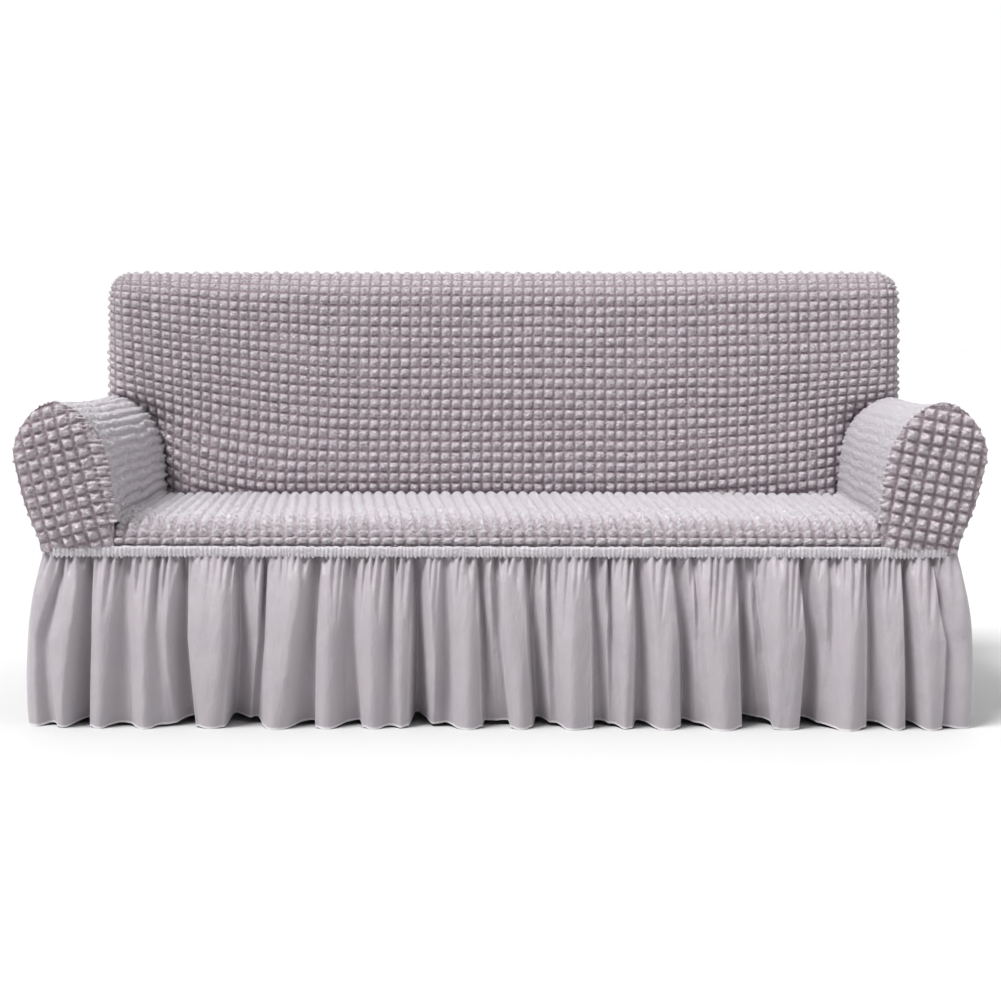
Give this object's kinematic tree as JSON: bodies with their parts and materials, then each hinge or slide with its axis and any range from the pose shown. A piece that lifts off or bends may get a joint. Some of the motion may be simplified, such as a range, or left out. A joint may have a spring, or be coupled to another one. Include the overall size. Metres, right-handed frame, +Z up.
{
  "type": "sofa slipcover",
  "caption": "Fitted stretch slipcover for a long rolled-arm sofa: bubbled cloth panels over seat, back and arms, a gathered elastic band, and a full gathered skirt down to the floor.",
  "frame": {"origin": "on the floor, under the middle of the whole cover", "axes": "+Z up, +X along the sofa towards the arm on the right as seen from the front, -Y the way a sitter faces"},
  "size_m": [2.0073, 0.9428, 0.9508],
  "materials": {
    "bubble_cloth": "lilac-grey stretch jersey, puckered into small raised squares by sewn-in elastic",
    "gathered_band": "pale grey cloth shirred over flat elastic into fine upright ribs",
    "skirt_cloth": "plain smooth lilac-grey polyester with a soft sheen and a narrow turned hem"
  },
  "bodies": {
    "root": {"seat": "bubble_cloth", "inside_back": "bubble_cloth", "outside_back": "bubble_cloth", "arm_left": "bubble_cloth", "arm_right": "bubble_cloth", "arm_front_left": "bubble_cloth", "arm_front_right": "bubble_cloth", "elastic_band": "gathered_band", "skirt_front": "skirt_cloth", "skirt_right": "skirt_cloth", "skirt_back": "skirt_cloth", "skirt_left": "skirt_cloth"}
  },
  "joints": []
}
